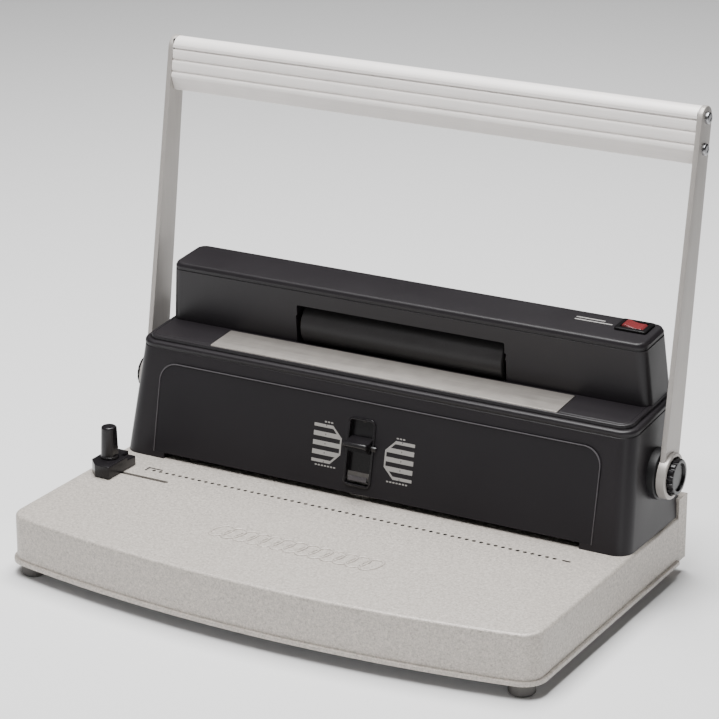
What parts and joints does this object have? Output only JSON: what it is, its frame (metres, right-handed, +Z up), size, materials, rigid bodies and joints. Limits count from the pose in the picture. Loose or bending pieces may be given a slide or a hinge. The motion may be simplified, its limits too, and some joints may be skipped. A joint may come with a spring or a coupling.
{
  "type": "spiral coil punching and binding machine",
  "caption": "Tabletop manual punch with a bail handle, silver base, black housing, punch depth selector, edge guide, chip drawer and powered roller that winds spiral coils into the sheets.",
  "frame": {"origin": "on the surface the feet stand on, at the middle of the machine's width and of its overall depth", "axes": "+X to the operator's right, +Y to the back, +Z up"},
  "size_m": [0.3976, 0.241, 0.3102],
  "materials": {
    "base_paint": "fine textured powder coat, satin",
    "bottom_steel": "zinc plated sheet, satin",
    "foot_rubber": "grey rubber, matte",
    "black_screw": "black oxide, satin",
    "housing_black": "charcoal black moulding with a soft sheen",
    "cover_black": "charcoal black moulding with a soft sheen",
    "panel_black": "fine matte black",
    "control_black": "black, low gloss",
    "strip_steel": "brushed along its length, satin",
    "roller_rubber": "smooth black rubber, satin",
    "core_aluminium": "turned",
    "bright_steel": "ground, bright",
    "bronze": "sintered bronze, satin",
    "nylon": "natural nylon",
    "pinion_brass": "cut, bright",
    "motor_can": "plated can, satin",
    "frame_steel": "zinc plated sheet",
    "switch_black": "black, gloss",
    "switch_red": "translucent red look, gloss",
    "board_green": "solder mask green",
    "arm_aluminium": "satin anodised",
    "grip_aluminium": "satin anodised extrusion",
    "boss_grey": "dark grey moulding",
    "tool_steel": "ground tool steel, oiled",
    "pin_steel": "hardened and ground, bright",
    "spring_steel": "drawn spring wire",
    "drawer_paint": "fine textured powder coat, satin"
  },
  "bodies": {
    "chassis": {"base_cover": "base_paint", "base_plate": "bottom_steel", "feet": "foot_rubber", "foot_screws": "black_screw", "lower_housing": "housing_black", "upper_housing": "cover_black", "back_panel": "panel_black", "panel_screws": "black_screw", "front_panel": "panel_black", "bed_strip": "strip_steel", "roller_bush_left": "bronze", "roller_bush_right": "bronze", "gear_motor": "motor_can", "motor_bracket": "frame_steel", "switch_bezel": "switch_black", "power_inlet": "switch_black", "control_board": "board_green", "left_pivot_boss": "boss_grey", "right_pivot_boss": "boss_grey", "left_side_frame": "frame_steel", "right_side_frame": "frame_steel", "frame_screws": "black_screw", "left_bushing": "bronze", "right_bushing": "bronze", "stripper_block": "tool_steel", "die_plate": "tool_steel", "left_guide_post": "bright_steel", "right_guide_post": "bright_steel", "left_return_spring": "spring_steel", "right_return_spring": "spring_steel", "housing_screws": "black_screw"},
    "handle": {"left_arm": "arm_aluminium", "right_arm": "arm_aluminium", "grip_bar": "grip_aluminium", "grip_screws": "black_screw", "punch_shaft": "bright_steel", "left_pinion": "tool_steel", "right_pinion": "tool_steel", "left_hub": "control_black", "right_hub": "control_black"},
    "left_clamp_knob": {"left_arm_knob": "control_black"},
    "right_clamp_knob": {"right_arm_knob": "control_black"},
    "punch": {"punch_beam": "tool_steel", "left_rack": "tool_steel", "right_rack": "tool_steel", "punch_pins": "pin_steel"},
    "selector": {"depth_selector": "control_black"},
    "gauge": {"depth_gauge": "frame_steel"},
    "roller": {"roller_sleeve": "roller_rubber", "roller_core": "core_aluminium", "roller_shaft": "bright_steel", "roller_gear": "nylon"},
    "motor_output": {"motor_pinion": "pinion_brass", "motor_shaft": "bright_steel"},
    "rocker": {"switch_rocker": "switch_red"},
    "guide": {"edge_guide": "control_black", "guide_bolt": "frame_steel"},
    "guide_clamp": {"guide_knob": "control_black"},
    "drawer": {"chip_drawer": "drawer_paint"}
  },
  "joints": [
    {"name": "handle_pull", "type": "hinge", "parent": "chassis", "child": "handle", "pos_m": [0, 0.07748, 0.081], "axis": [1, 0, 0], "range_deg": [0, 90]},
    {"name": "left_knob_turn", "type": "hinge", "parent": "handle", "child": "left_clamp_knob", "pos_m": [-0.1925, 0.07748, 0.081], "axis": [1, 0, 0], "range_deg": [-360, 0]},
    {"name": "right_knob_turn", "type": "hinge", "parent": "handle", "child": "right_clamp_knob", "pos_m": [0.1925, 0.07748, 0.081], "axis": [1, 0, 0], "range_deg": [0, 360]},
    {"name": "punch_slide", "type": "slide", "parent": "chassis", "child": "punch", "axis": [0, 0, -1], "range_m": [0, 0.01258], "stiffness_N_per_m": 1200, "springref_m": -0.012, "deforming": ["left_return_spring", "right_return_spring"]},
    {"name": "depth_select", "type": "slide", "parent": "chassis", "child": "selector", "axis": [0, 0.1936, 0.9811], "range_m": [-0.014, 0.01]},
    {"name": "gauge_slide", "type": "slide", "parent": "chassis", "child": "gauge", "axis": [0, 1, 0], "range_m": [-0.00281, 0.00204]},
    {"name": "roller_spin", "type": "hinge", "parent": "chassis", "child": "roller", "pos_m": [0, 0.09145, 0.13374], "axis": [1, 0, 0], "continuous": true},
    {"name": "motor_spin", "type": "hinge", "parent": "chassis", "child": "motor_output", "pos_m": [0, 0.09612, 0.11844], "axis": [1, 0, 0], "continuous": true},
    {"name": "power_rocker", "type": "hinge", "parent": "chassis", "child": "rocker", "pos_m": [0.156, 0.09756, 0.16489], "axis": [0, 0.9962, 0.0872], "range_deg": [-16, 0]},
    {"name": "guide_slide", "type": "slide", "parent": "chassis", "child": "guide", "axis": [1, 0, 0], "range_m": [0, 0.035]},
    {"name": "guide_clamp_turn", "type": "hinge", "parent": "guide", "child": "guide_clamp", "pos_m": [-0.17332, -0.00582, 0.0415], "axis": [0, 0, 1], "range_deg": [0, 360]},
    {"name": "drawer_slide", "type": "slide", "parent": "chassis", "child": "drawer", "axis": [0, 1, 0], "range_m": [0, 0.08]}
  ],
  "couplings": [
    {"joint": "punch_slide", "follows": "handle_pull", "m_per_rad": 0.008},
    {"joint": "gauge_slide", "follows": "depth_select", "ratio": 0.19363},
    {"joint": "motor_spin", "follows": "roller_spin", "ratio": -1.2222}
  ]
}
